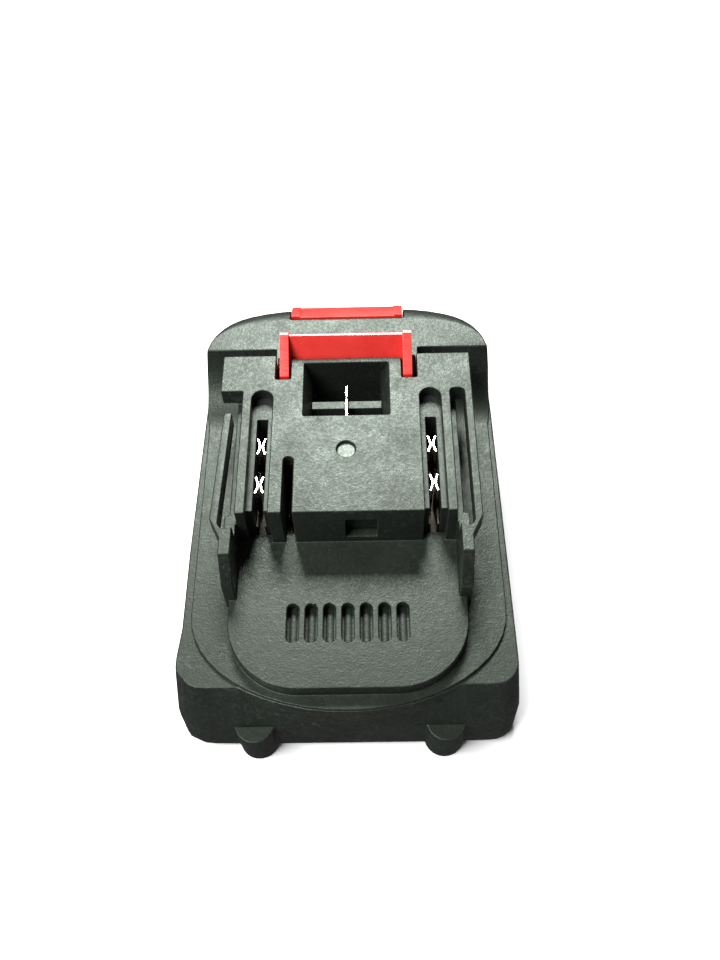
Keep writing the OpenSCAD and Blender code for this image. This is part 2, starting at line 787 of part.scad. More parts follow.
module leaf_2d(y0, y1, grips) {
    steps = round((y1 - y0) / 0.55);
    ys = [for (i = [0 : steps]) y0 + (y1 - y0) * i / steps];
    polygon(concat(
        [for (y = ys) [leaf_offset(y, grips), y]],
        [for (i = [steps : -1 : 0]) [leaf_offset(ys[i], grips) + sheet_t, ys[i]]]
    ));
}

module power_terminal(side) {
    y0 = block_front_y + 0.5;
    y1 = chamber_end_y - 0.3;
    floor_z = board_top_z + 3;
    grips = [chamber_end_y - 7.6, chamber_end_y - 18.6];
    color([0.8, 0.77, 0.68]) translate([side * power_x, 0, 0]) {
        translate([0, 0, floor_z]) linear_extrude(5) both_sides() leaf_2d(y0, y1, grips);
        translate([0, 0, floor_z]) linear_extrude(block_top_z - 0.4 - floor_z) intersection() {
            both_sides() leaf_2d(y0, y1, grips);
            for (g = grips) translate([-chamber_w / 2, g - grip_l / 2]) square([chamber_w, grip_l]);
        }
        span([-chamber_w / 2 + 0.1, y0, floor_z], [chamber_w / 2 - 0.1, y1, floor_z + 0.6]);
        for (y = [block_front_y + 3, chamber_end_y - 3])
            span([-0.5, y - 0.7, board_top_z], [0.5, y + 0.7, floor_z + 0.3]);
    }
}
module positive_terminal() power_terminal(1);
module negative_terminal() power_terminal(-1);

module data_contact() {
    floor_z = board_top_z + 3;
    y0 = block_front_y + 4;
    y1 = data_end_y - 0.4;
    color([0.8, 0.77, 0.68]) translate([-data_x, 0, 0]) {
        for (s = [-1, 1])
            span([s * 0.6 - sheet_t / 2, y0, floor_z], [s * 0.6 + sheet_t / 2, y1, deck_z - 13]);
        span([-0.6, y0, floor_z], [0.6, y1, floor_z + 0.5]);
        span([-0.5, data_end_y - 3.9, board_top_z], [0.5, data_end_y - 2.5, floor_z + 0.3]);
    }
}

module centre_blade() color([0.82, 0.82, 0.8]) {
    difference() {
        span([-blade_t / 2, blade_y, board_top_z], [blade_t / 2, blade_y + blade_l, blade_z]);
        span([-1, bar_y + 0.4, blade_z - 0.6], [1, bar_y + 2, blade_z + 1]);
    }
}

module circuit_board() color([0.06, 0.08, 0.07]) difference() {
    translate([0, 0, board_z]) linear_extrude(board_t) {
        r = board_corner_r;
        translate([-board_x, board_front_y + r]) square([2 * board_x, board_back_y - board_front_y - r]);
        translate([-board_x + r, board_front_y]) square([2 * (board_x - r), r + eps]);
        for (s = [-1, 1]) translate([s * (board_x - r), board_front_y + r]) circle(r);
    }
    for (y = post_ys) both_sides() translate([post_x, y, board_z - 1])
        cylinder(h = board_t + 2, r = board_screw_d / 2 + 0.1);
}

// Parts soldered to the board behind the vents: transistors, a chip, a fuse and capacitors
module board_components() color([0.12, 0.12, 0.13]) {
    h = min(2.4, ledge_z - wall - board_top_z - 0.5);
    z = board_top_z;
    y = vent_y + vent_l + 3;
    for (i = [0 : 2]) span([-17 + 12 * i, y, z], [-8 + 12 * i, y + 6, z + h * 0.75]);
    span([1, y + 7.5, z], [9, y + 12, z + h * 0.5]);
    span([12, y + 7.5, z], [19, y + 12, z + h * 0.6]);
    for (i = [0 : 4]) span([-18 + 3.2 * i, y + 8, z], [-16.4 + 3.2 * i, y + 11, z + h * 0.4]);
    for (s = [-1, 1]) translate([s * (post_x - 1.5), y + 3, z]) cylinder(h = h * 0.9, r = 1.6);
}

module board_screws() color([0.7, 0.7, 0.7])
    for (y = post_ys) both_sides() translate([post_x, y, 0]) {
        translate([0, 0, board_top_z]) cylinder(h = 1.2, r = board_screw_d * 0.85);
        translate([0, 0, holder_top_z - 5]) cylinder(h = board_top_z - holder_top_z + 5, d = board_screw_d);
    }

// End holder: one bore for each cell, a thin lip outside it and posts for the board
module cell_holder() {
    front = holder_front_y;
    back = holder_back_y;
    difference() {
        union() {
            translate([(holder_in_x + holder_x) / 2, 0, 0]) along_x(holder_x - holder_in_x) polygon([
                [front, holder_z + 2], [front + 2, holder_z], [back, holder_z], [back, holder_top_z],
                [front + 3.6, holder_top_z], [front, cell_z + 1.8]
            ]);
            for (y = post_ys) translate([post_x, y, holder_top_z - 1]) cylinder(h = post_h + 1, d = 4.4);
        }
        for (i = [0 : cell_count - 1]) translate([0, cell_y(i), cell_z]) rotate([0, 90, 0]) {
            cylinder(h = cell_l / 2 + seat_gap, d = cell_d + 2 * seat_gap);
            cylinder(h = holder_x + 1, r = link_window_r);
        }
        for (y = post_ys) translate([post_x, y, holder_top_z - 6])
            cylinder(h = post_h + 10, r = board_screw_d / 2 + 0.05);
        // The links run between the lips of neighbouring cells
        span([cell_l / 2 + 0.6, cell_y(0), cell_z - 4.2],
             [holder_x + 1, cell_y(cell_count - 1), cell_z + 4.2]);
    }
}
module cell_holder_left() color([0.86, 0.85, 0.8]) mirror([1, 0, 0]) cell_holder();
module cell_holder_right() color([0.86, 0.85, 0.8]) cell_holder();

// Cell along X with its positive end on the given side
module cell(i) {
    side = i % 2 == 0 ? 1 : -1;
    r = cell_d / 2;
    h = cell_l / 2;
    color([0.1, 0.45, 0.5]) translate([0, cell_y(i), cell_z]) rotate([0, side * 90, 0]) rotate_extrude()
        polygon([
            [0, -h], [r - 0.6, -h], [r, -h + 0.6], [r, h - 3.2], [r - 0.5, h - 2.7],
            [r - 0.5, h - 2.2], [r, h - 1.7], [r, h - 1.1], [r - 0.6, h - 0.5],
            [4.2, h - 0.5], [3.8, h], [0, h]
        ]);
}

module cell_insulators() color([0.92, 0.92, 0.9]) for (i = [0 : cell_count - 1]) {
    side = i % 2 == 0 ? 1 : -1;
    translate([0, cell_y(i), cell_z]) rotate([0, side * 90, 0]) translate([0, 0, cell_l / 2 - 0.5])
        difference() {
            cylinder(h = 0.4, r = cell_d / 2 - 0.8);
            translate([0, 0, -1]) cylinder(h = 3, r = 4.3);
        }
}

// Nickel link over the ends of the listed cells, with a solder tab to the board
module link(first, last, side) {
    x0 = cell_l / 2 + weld_h;
    w = link_w;
    mirror([side < 0 ? 1 : 0, 0, 0]) {
        span([x0, cell_y(first) - w / 2 + (first == 0 ? 3.9 : 0), cell_z - w / 2],
             [x0 + link_t, cell_y(last) + w / 2 - (last == cell_count - 1 ? 3.9 : 0), cell_z + w / 2]);
        for (i = [first : last])
            translate([cell_l / 2, cell_y(i) + (i == 0 ? 2 : i == cell_count - 1 ? -2 : 0), cell_z])
                rotate([0, 90, 0]) cylinder(h = weld_h + eps, r = weld_r);
    }
}

module link_tab(i, side) mirror([side < 0 ? 1 : 0, 0, 0]) {
    x0 = cell_l / 2 + weld_h;
    y = cell_y(i) + (i == cell_count - 1 ? -2 : 2);
    top = holder_top_z + 0.4;
    span([x0, y - 1.5, cell_z], [x0 + link_t, y + 1.5, cell_z + 4.2]);
    span([x0, y - 1.5, cell_z + 4], [holder_x + seat_gap + link_t, y + 1.5, cell_z + 4 + link_t]);
    span([holder_x + seat_gap, y - 1.5, cell_z + 4], [holder_x + seat_gap + link_t, y + 1.5, top + link_t]);
    span([board_x + seat_gap, y - 1.5, top], [holder_x + seat_gap + link_t, y + 1.5, top + link_t]);
    span([board_x + seat_gap, y - 1.5, top], [board_x + seat_gap + link_t, y + 1.5, skin_z]);
}

module cell_links_left() color([0.8, 0.8, 0.78]) {
    link(0, 1, -1);
    link(2, 3, -1);
    link(4, 4, -1);
    for (i = [0, 2, 4]) link_tab(i, -1);
}

module cell_links_right() color([0.8, 0.8, 0.78]) {
    link(0, 0, 1);
    link(1, 2, 1);
    link(3, 4, 1);
    for (i = [0, 1, 3]) link_tab(i, 1);
}

module temperature_sensor() color([0.2, 0.2, 0.2]) {
    top = cell_z + cell_d / 2;
    translate([0, cell_y(2), 0]) {
        span([-1.8, -1.2, top], [1.8, 1.2, top + 1.4]);
        for (s = [-1, 1]) translate([s * 0.9, 0, top + 1.4 - eps])
            cylinder(h = board_z - top - 1.4 + eps, r = 0.3);
    }
}

module foam_pads() color([0.25, 0.25, 0.27]) both_sides()
    span([holder_in_x + 2, holder_front_y + 6, wall], [holder_x - 3, holder_back_y - 6, wall + foam_t]);

module case_screws() color([0.3, 0.3, 0.32]) both_sides() translate([screw_x, screw_y, 0]) {
    translate([0, 0, counterbore_z - 2.2]) cylinder(h = 2.2, r = screw_head_r);
    translate([0, 0, counterbore_z - eps]) cylinder(h = boss_joint_z + 8 - counterbore_z, d = case_screw_d);
}

module cell_1() cell(0);
module cell_2() cell(1);
module cell_3() cell(2);
module cell_4() cell(3);
module cell_5() cell(4);

lower_case();
upper_case();
latch_hook();
release_button();
latch_spring_left();
latch_spring_right();
terminal_block();
positive_terminal();
negative_terminal();
data_contact();
centre_blade();
circuit_board();
board_components();
board_screws();
cell_holder_left();
cell_holder_right();
cell_1();
cell_2();
cell_3();
cell_4();
cell_5();
cell_insulators();
cell_links_left();
cell_links_right();
temperature_sensor();
foam_pads();
case_screws();
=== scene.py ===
"""Looks of a slide-on battery pack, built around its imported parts.

Lengths are in millimetres and angles in degrees, unless a docstring says otherwise.
"""

from __future__ import annotations

import logging
import math
from collections.abc import Callable
from dataclasses import dataclass, field
from enum import Enum

import bmesh
import bpy
from mathutils import Matrix, Vector


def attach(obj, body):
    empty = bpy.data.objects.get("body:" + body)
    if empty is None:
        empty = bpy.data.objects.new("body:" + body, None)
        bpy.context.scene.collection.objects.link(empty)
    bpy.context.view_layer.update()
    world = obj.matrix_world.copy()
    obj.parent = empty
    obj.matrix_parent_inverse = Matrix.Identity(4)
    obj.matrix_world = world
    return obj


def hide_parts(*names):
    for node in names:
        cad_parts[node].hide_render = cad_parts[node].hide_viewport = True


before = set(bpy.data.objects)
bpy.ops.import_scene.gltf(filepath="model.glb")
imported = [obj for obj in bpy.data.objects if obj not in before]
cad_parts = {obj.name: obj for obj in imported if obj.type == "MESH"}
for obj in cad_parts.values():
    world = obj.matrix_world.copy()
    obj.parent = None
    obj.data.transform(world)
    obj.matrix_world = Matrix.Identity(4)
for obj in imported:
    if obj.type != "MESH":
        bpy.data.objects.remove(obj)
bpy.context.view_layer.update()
LOG = logging.getLogger("battery_pack")
Point = tuple[float, float, float]
Colour = tuple[float, float, float]
Span = tuple[float, float]
Socket = bpy.types.NodeSocket

MM = 0.001
# Points closer than this become one, and lines inside faces flatter than this go.
MERGE_GAP = 0.03
FLAT_TURN = 0.3
# Edges that turn by more than this stay sharp, and large faces keep their shading so strongly.
SMOOTH_TURN = 35.0
FLAT_WEIGHT = 80
# Turn from which the edges of plain boxes and discs are rounded.
SHARP_TURN = 40.0
# How far a point may lie from the plane that it is picked on.
NEAR = 0.05

WHITE: Colour = (1.0, 1.0, 1.0)
EVEN: Point = (1.0, 1.0, 1.0)
FULL: Span = (0.0, 1.0)
# Span that most of a noise lies in.
MIDDLE: Span = (0.3, 0.7)


class Slot(Enum):
    """Material slots of the part's record."""

    CASE = "case_plastic"
    RED = "red_plastic"
    INNER = "inner_plastic"
    CONTACT = "contact_metal"
    SPRING = "spring_steel"
    BOARD = "board"
    COMPONENT = "component_plastic"
    SCREW = "screw_steel"
    HOLDER = "holder_plastic"
    CELL = "cell"
    PAPER = "insulator_paper"
    NICKEL = "nickel"
    FOAM = "foam"


class Body(Enum):
    """Bodies that pieces ride on."""

    PACK = "pack"
    LATCH = "latch"


class Element(Enum):
    """What a selection in edit mode is made of."""

    POINT = "VERT"
    EDGE = "EDGE"
    FACE = "FACE"


class Sum(Enum):
    """Ways to combine two numbers in a material."""

    ADD = "ADD"
    SUBTRACT = "SUBTRACT"
    MULTIPLY = "MULTIPLY"


def scaled(colour: Colour, factor: float) -> Colour:
    """Return a colour made lighter or darker by a factor."""
    return tuple(factor * c for c in colour)


def add_object(name: str, data: bpy.types.ID) -> bpy.types.Object:
    """Add an object to the scene.

    Args:
        name: name of the object.
        data: its mesh, lamp or camera.

    Returns:
        The object.
    """
    thing = bpy.data.objects.new(name, data)
    bpy.context.scene.collection.objects.link(thing)
    return thing


class Recipe:
    """Node tree of one material, with the steps that the finishes share."""

    SOCKETS = {
        "colour": "Base Color",
        "roughness": "Roughness",
        "normal": "Normal",
        "gloss": "Specular IOR Level",
    }
    NOISE_ROUGHNESS = 0.6
    EDGE_SAMPLES = 4
    # Cosine of the bend at a plain face and at a sharp edge.
    BEND: Span = (0.99, 0.8)
    # Openness of a hollow corner and of an outer edge, looked for this many radii around.
    OPENNESS: Span = (0.72, 0.9)
    REACH = 3

    def __init__(self, name: str, roughness: float, metallic: float = 0.0) -> None:
        """Start a material with its plain shader.

        Args:
            name: name of the material.
            roughness: roughness where no node gives it.
            metallic: 1 for metal, 0 for anything else.
        """
        self.material = bpy.data.materials.new(name)
        self.material.use_nodes = True
        self.tree = self.material.node_tree
        self.shader = self.tree.nodes["Principled BSDF"]
        self.shader.inputs["Metallic"].default_value = metallic
        self.shader.inputs["Roughness"].default_value = roughness
        self.place = self.node("TexCoord").outputs["Object"]

    def node(self, kind: str) -> bpy.types.Node:
        """Return a new shader node of a kind."""
        return self.tree.nodes.new(f"ShaderNode{kind}")

    def join(self, source: Socket, target: Socket) -> None:
        """Link two sockets."""
        self.tree.links.new(source, target)

    def tint(self, colour: Colour) -> None:
        """Tint the shader's plain gloss."""
        self.shader.inputs["Specular Tint"].default_value = (*colour, 1)

    def stretched(self, stretch: Point) -> Socket:
        """Stretch the piece's coordinates.

        Args:
            stretch: factor on each axis.

        Returns:
            The stretched coordinates.
        """
        node = self.node("Mapping")
        node.inputs["Scale"].default_value = stretch
        self.join(self.place, node.inputs["Vector"])
        return node.outputs["Vector"]

    def noise(
        self, size: float, detail: float = 2.0, stretch: Point = EVEN, twist: float = 0.0
    ) -> Socket:
        """Make a noise.

        Args:
            size: width of its blobs.
            detail: number of finer layers.
            stretch: factor on each axis.
            twist: how far the blobs are drawn out into wisps.

        Returns:
            Numbers around a half.
        """
        node = self.node("TexNoise")
        node.inputs["Scale"].default_value = 1 / MM / size
        node.inputs["Detail"].default_value = detail
        node.inputs["Roughness"].default_value = self.NOISE_ROUGHNESS
        node.inputs["Distortion"].default_value = twist
        self.join(self.stretched(stretch), node.inputs["Vector"])
        return node.outputs["Fac"]

    def cells(self, size: float) -> Socket:
        """Scatter points.

        Args:
            size: about how far apart they are.

        Returns:
            The distance to the nearest point, as a share of the size.
        """
        node = self.node("TexVoronoi")
        node.inputs["Scale"].default_value = 1 / MM / size
        self.join(self.place, node.inputs["Vector"])
        return node.outputs["Distance"]

    def height(self) -> Socket:
        """Return the height above the resting face, in metres."""
        node = self.node("SeparateXYZ")
        self.join(self.place, node.inputs["Vector"])
        return node.outputs["Z"]

    def span(self, value: Socket, source: Span, result: Span) -> Socket:
        """Map a number from one span to another, held at the ends.

        Args:
            value: the number.
            source: span that it is read from.
            result: span that it is mapped to.

        Returns:
            The mapped number.
        """
        node = self.node("MapRange")
        node.clamp = True
        names = ("From Min", "From Max", "To Min", "To Max")
        for name, number in zip(names, (*source, *result)):
            node.inputs[name].default_value = number
        self.join(value, node.inputs["Value"])
        return node.outputs["Result"]

    def combine(self, kind: Sum, a: Socket, b: Socket | float) -> Socket:
        """Combine two numbers.

        Args:
            kind: how they are combined.
            a: the first number.
            b: the second number, from a node or plain.

        Returns:
            Their combination.
        """
        node = self.node("Math")
        node.operation = kind.value
        self.join(a, node.inputs[0])
        if isinstance(b, float):
            node.inputs[1].default_value = b
        else:
            self.join(b, node.inputs[1])
        return node.outputs["Value"]

    def mix(self, share: Socket, a: Socket | Colour, b: Colour) -> Socket:
        """Turn one colour into another.

        Args:
            share: 0 for the first colour, 1 for the second.
            a: the first colour, from a node or plain.
            b: the second colour.

        Returns:
            The mixed colour.
        """
        node = self.node("Mix")
        node.data_type = "RGBA"
        self.join(share, node.inputs["Factor"])
        if isinstance(a, tuple):
            node.inputs["A"].default_value = (*a, 1)
        else:
            self.join(a, node.inputs["A"])
        node.inputs["B"].default_value = (*b, 1)
        return node.outputs["Result"]

    def edges(self, radius: float) -> Socket:
        """Find the outer edges and corners.

        Args:
            radius: how far from the edge the mask reaches.

        Returns:
            A mask that is 1 on them and 0 on faces and in hollow corners.
        """
        bevel = self.node("Bevel")
        bevel.samples = self.EDGE_SAMPLES
        bevel.inputs["Radius"].default_value = radius * MM
        plain = self.node("NewGeometry")
        dot = self.node("VectorMath")
        dot.operation = "DOT_PRODUCT"
        self.join(bevel.outputs["Normal"], dot.inputs[0])
        self.join(plain.outputs["Normal"], dot.inputs[1])
        hollow = self.node("AmbientOcclusion")
        hollow.samples = self.EDGE_SAMPLES
        hollow.inputs["Distance"].default_value = self.REACH * radius * MM
        bent = self.span(dot.outputs["Value"], self.BEND, FULL)
        outer = self.span(hollow.outputs["AO"], self.OPENNESS, FULL)
        return self.combine(Sum.MULTIPLY, bent, outer)

    def bump(self, height: Socket, depth: float, below: Socket | None = None) -> Socket:
        """Roughen the surface.

        Args:
            height: numbers from 0 to 1.
            depth: depth of the relief.
            below: normal that the relief is laid over.

        Returns:
            The new normal.
        """
        node = self.node("Bump")
        node.inputs["Strength"].default_value = 1.0
        node.inputs["Distance"].default_value = depth * MM
        self.join(height, node.inputs["Height"])
        if below is not None:
            self.join(below, node.inputs["Normal"])
        return node.outputs["Normal"]

    def coat(self, **values: Socket | float) -> bpy.types.Material:
        """Feed the shader.

        Args:
            values: a node's output or a plain number for each of SOCKETS that is fed.

        Returns:
            The material.
        """
        for key, value in values.items():
            target = self.shader.inputs[self.SOCKETS[key]]
            if isinstance(value, float):
                target.default_value = value
            else:
                self.join(value, target)
        return self.material


@dataclass(frozen=True)
class GrainedPlastic:
    """Moulded plastic with spark-eroded grain, flow marks, pale scuffs and pale edges, partly worn
    and partly painted highlight.

    Fields that end in size are the widths of a pattern's blobs, and relief is the grain's depth.
    """

    name: str
    dark: Colour
    light: Colour
    roughness: Span = (0.36, 0.46)
    grain: float = 0.5
    relief: float = 0.05
    gloss: float = 0.36
    scuffs: float = 0.5
    sheen: Colour = (0.86, 1.0, 0.86)
    scuffed: Colour = (0.075, 0.086, 0.07)
    worn_and_highlight: Colour = (0.1, 0.112, 0.095)
    flow_size: float = 13.0
    flow_stretch: Point = (1.0, 0.5, 1.0)
    wisp_size: float = 3.4
    wisp_twist: float = 2.2
    patch_size: float = 12.0
    wear_size: float = 2.5
    cloud_size: float = 5.5
    wave_size: float = 1.7
    edge: float = 0.35
    speck_light: float = 2.2
    polish: float = 0.14

    def scuff_mask(self, r: Recipe) -> Socket:
        """Draw pale wisps that come in patches.

        Args:
            r: recipe of the material.

        Returns:
            A mask that is 1 on the wisps.
        """
        wisps = r.noise(self.wisp_size, 4.0, twist=self.wisp_twist)
        wisps = r.span(wisps, (0.52, 0.72), FULL)
        patches = r.span(r.noise(self.patch_size), (0.42, 0.66), (0.1, 1.0))
        return r.combine(Sum.MULTIPLY, wisps, patches)

    def wear_and_highlight_mask(self, r: Recipe) -> Socket:
        """Pale the outer edges unevenly, partly as wear and partly as painted highlight.

        Args:
            r: recipe of the material.

        Returns:
            A mask that is highest on the worn, highlighted edges.
        """
        edges = r.edges(self.edge)
        patches = r.span(r.noise(self.wear_size, 3.0), (0.35, 0.7), (0.0, 0.7))
        return r.combine(Sum.MULTIPLY, edges, patches)

    def material(self) -> bpy.types.Material:
        """Return the finish as a material."""
        r = Recipe(self.name, self.roughness[1])
        r.tint(self.sheen)
        flow = r.span(r.noise(self.flow_size, 3.0, self.flow_stretch), MIDDLE, FULL)
        speck = r.noise(1.5 * self.grain)
        scuff = self.scuff_mask(r)
        wear_and_highlight = self.wear_and_highlight_mask(r)
        colour = r.mix(flow, self.dark, self.light)
        pale = scaled(self.light, self.speck_light)
        colour = r.mix(r.span(speck, (0.42, 0.72), (0.0, 0.4)), colour, pale)
        colour = r.mix(r.combine(Sum.MULTIPLY, scuff, self.scuffs), colour, self.scuffed)
        # Outer edges turn paler: partly wear, partly painted highlight.
        colour = r.mix(wear_and_highlight, colour, self.worn_and_highlight)
        rough = r.span(r.noise(self.cloud_size, 4.0), MIDDLE, self.roughness)
        rough = r.combine(Sum.ADD, rough, r.span(speck, MIDDLE, (0.06, -0.06)))
        rubbed = r.combine(Sum.MULTIPLY, scuff, self.polish * self.scuffs)
        rough = r.combine(Sum.SUBTRACT, rough, rubbed)
        fine = r.bump(r.noise(self.grain), self.relief)
        waves = r.bump(r.noise(self.wave_size), 0.9 * self.relief, fine)
        return r.coat(colour=colour, roughness=rough, normal=waves, gloss=self.gloss)


@dataclass(frozen=True)
class SmoothPlastic:
    """Polished moulded plastic with faint scratches, and edges made paler, partly as wear and
    partly as painted highlight.
    """

    name: str
    deep: Colour
    bright: Colour
    worn_and_highlight: Colour
    roughness: Span = (0.22, 0.36)
    cloud_size: float = 6.0
    wear_size: float = 1.8
    edge: float = 0.25
    scratch_size: float = 0.5
    scratch_stretch: Point = (0.08, 1.0, 1.0)
    peel_size: float = 1.2
    relief: float = 0.01

    def material(self) -> bpy.types.Material:
        """Return the finish as a material."""
        r = Recipe(self.name, self.roughness[0])
        cloud = r.span(r.noise(self.cloud_size, 3.0), MIDDLE, FULL)
        colour = r.mix(cloud, self.deep, self.bright)
        edges = r.edges(self.edge)
        patches = r.span(r.noise(self.wear_size, 3.0), MIDDLE, (0.0, 0.6))
        # Outer edges turn paler: partly wear, partly painted highlight.
        colour = r.mix(r.combine(Sum.MULTIPLY, edges, patches), colour, self.worn_and_highlight)
        scratch = r.noise(self.scratch_size, 3.0, self.scratch_stretch)
        rough = r.span(scratch, (0.35, 0.7), self.roughness)
        peel = r.bump(r.noise(self.peel_size), self.relief)
        return r.coat(colour=colour, roughness=rough, normal=peel)


@dataclass(frozen=True)
class SheetMetal:
    """Plated or rolled metal with fine drawing lines and tarnish, darkened below a height as
    painted shade and rougher there.
    """

    name: str
    colour: Colour
    tarnish: Colour
    roughness: Span = (0.18, 0.34)
    lines: Point = (1.0, 0.06, 1.0)
    shade_below: float = -1.0
    shade_fade: float = 0.25
    shade_share: float = 0.16
    dull_roughness: float = 0.25
    spot_size: float = 1.5
    line_size: float = 0.12
    relief: float = 0.004

    def material(self) -> bpy.types.Material:
        """Return the finish as a material."""
        r = Recipe(self.name, self.roughness[0], 1.0)
        spots = r.span(r.noise(self.spot_size, 4.0), (0.45, 0.75), (0.0, 0.6))
        lines = r.noise(self.line_size, stretch=self.lines)
        # Below a set height the colour turns dark, as painted shade for the depths of the slots,
        # and the metal gets rougher.
        low = (self.shade_below - self.shade_fade) * MM
        high = (self.shade_below + self.shade_fade) * MM
        painted_shade = r.span(r.height(), (low, high), (1.0, 0.0))
        colour = r.mix(spots, self.colour, self.tarnish)
        colour = r.mix(painted_shade, colour, scaled(self.tarnish, self.shade_share))
        rough = r.span(lines, MIDDLE, self.roughness)
        rough = r.combine(Sum.ADD, rough, r.combine(Sum.MULTIPLY, painted_shade, self.dull_roughness))
        return r.coat(colour=colour, roughness=rough, normal=r.bump(lines, self.relief))


@dataclass(frozen=True)
class SolderMask:
    """Dark solder mask over faint copper areas."""

    name: str
    colour: Colour
    copper: Colour
    roughness: Span = (0.28, 0.45)
    area_size: float = 6.0
    cloud_size: float = 2.0
    relief: float = 0.02

    def material(self) -> bpy.types.Material:
        """Return the finish as a material."""
        r = Recipe(self.name, self.roughness[0])
        areas = r.span(r.cells(self.area_size), (0.45, 0.5), (0.0, 0.5))
        colour = r.mix(areas, self.colour, self.copper)
        rough = r.span(r.noise(self.cloud_size, 4.0), MIDDLE, self.roughness)
        return r.coat(colour=colour, roughness=rough, normal=r.bump(areas, self.relief))


@dataclass(frozen=True)
class Fibre:
    """Foam or paper: matt, with pores or fibres."""

    name: str
    dark: Colour
    light: Colour
    pore: float
    relief: float
    stretch: Point = EVEN
    roughness: Span = (0.8, 0.98)

    def material(self) -> bpy.types.Material:
        """Return the finish as a material."""
        r = Recipe(self.name, self.roughness[1])
        pores = r.noise(self.pore, 4.0, self.stretch)
        colour = r.mix(r.span(pores, MIDDLE, FULL), self.dark, self.light)
        rough = r.span(pores, (0.2, 0.8), self.roughness)
        return r.coat(colour=colour, roughness=rough, normal=r.bump(pores, self.relief))


Finish = GrainedPlastic | SmoothPlastic | SheetMetal | SolderMask | Fibre

FINISHES: dict[Slot, Finish] = {
    Slot.CASE: GrainedPlastic(
        "case_grain",
        dark=(0.0085, 0.0105, 0.0085),
        light=(0.0135, 0.0165, 0.0135),
    ),
    Slot.RED: SmoothPlastic(
        "red_gloss",
        deep=(0.74, 0.034, 0.028),
        bright=(0.86, 0.055, 0.045),
        worn_and_highlight=(0.92, 0.13, 0.1),
    ),
    Slot.INNER: GrainedPlastic(
        "inner_satin",
        dark=(0.011, 0.013, 0.012),
        light=(0.016, 0.019, 0.017),
        roughness=(0.4, 0.5),
        grain=0.35,
        relief=0.02,
        scuffs=0.15,
    ),
    Slot.CONTACT: SheetMetal(
        "contact_nickel",
        colour=(0.88, 0.86, 0.78),
        tarnish=(0.6, 0.54, 0.43),
        # Painted shade darkens the contacts below 38 mm, deep in the deck's slots.
        shade_below=38.0,
    ),
    Slot.SPRING: SheetMetal(
        "spring_wire",
        colour=(0.6, 0.6, 0.6),
        tarnish=(0.4, 0.38, 0.35),
        roughness=(0.2, 0.35),
        lines=(1.0, 1.0, 0.1),
    ),
    Slot.BOARD: SolderMask(
        "board_mask",
        colour=(0.012, 0.02, 0.016),
        copper=(0.03, 0.045, 0.035),
    ),
    Slot.COMPONENT: GrainedPlastic(
        "component_epoxy",
        dark=(0.012, 0.012, 0.013),
        light=(0.022, 0.022, 0.024),
        roughness=(0.45, 0.6),
        grain=0.15,
        relief=0.01,
        gloss=0.4,
        scuffs=0.0,
        sheen=WHITE,
    ),
    Slot.SCREW: SheetMetal(
        "screw_zinc",
        colour=(0.5, 0.5, 0.52),
        tarnish=(0.3, 0.29, 0.27),
        roughness=(0.25, 0.4),
    ),
    Slot.HOLDER: GrainedPlastic(
        "holder_satin",
        dark=(0.62, 0.61, 0.57),
        light=(0.72, 0.71, 0.67),
        roughness=(0.4, 0.5),
        grain=0.4,
        relief=0.012,
        gloss=0.5,
        scuffs=0.0,
        sheen=WHITE,
    ),
    Slot.CELL: SmoothPlastic(
        "cell_sleeve",
        deep=(0.02, 0.22, 0.27),
        bright=(0.03, 0.28, 0.33),
        worn_and_highlight=(0.1, 0.4, 0.45),
    ),
    Slot.PAPER: Fibre(
        "fish_paper",
        dark=(0.74, 0.74, 0.7),
        light=(0.88, 0.88, 0.84),
        pore=0.5,
        relief=0.01,
        stretch=(1.0, 0.3, 1.0),
    ),
    Slot.NICKEL: SheetMetal(
        "link_nickel",
        colour=(0.72, 0.71, 0.67),
        tarnish=(0.5, 0.48, 0.42),
        roughness=(0.2, 0.35),
    ),
    Slot.FOAM: Fibre(
        "pad_foam",
        dark=(0.03, 0.03, 0.032),
        light=(0.07, 0.07, 0.074),
        pore=0.5,
        relief=0.08,
    ),
}
GATE_FINISH = GrainedPlastic(
    "gate_satin",
    dark=(0.03, 0.036, 0.03),
    light=(0.05, 0.058, 0.048),
    roughness=(0.32, 0.42),
    grain=0.4,
    relief=0.03,
    gloss=0.5,
    scuffs=0.6,
)


class Paintbox:
    """Makes each finish once and gives it to pieces."""

    def __init__(self) -> None:
        """Start with no finish made."""
        self.made: dict[str, bpy.types.Material] = {}

    def material(self, finish: Finish) -> bpy.types.Material:
        """Make a finish on its first use.

        Args:
            finish: the finish.

        Returns:
            Its material.
        """
        if finish.name not in self.made:
            self.made[finish.name] = finish.material()
        return self.made[finish.name]

    def dress(
        self, piece: bpy.types.Object, slot: Slot, finish: Finish | None = None
    ) -> None:
        """Give a new piece the finish of its slot, or another finish.

        Args:
            piece: the piece.
            slot: its slot in the record.
            finish: a finish other than the slot's.
        """
        piece.data.materials.clear()
        piece.data.materials.append(self.material(finish or FINISHES[slot]))

    def dress_node(self, node: str, slot: Slot) -> None:
        """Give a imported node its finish, on its own material slots.

        Args:
            node: name of the node.
            slot: its slot in the record.
        """
        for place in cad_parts[node].material_slots:
            place.link = "OBJECT"
            place.material = self.material(FINISHES[slot])


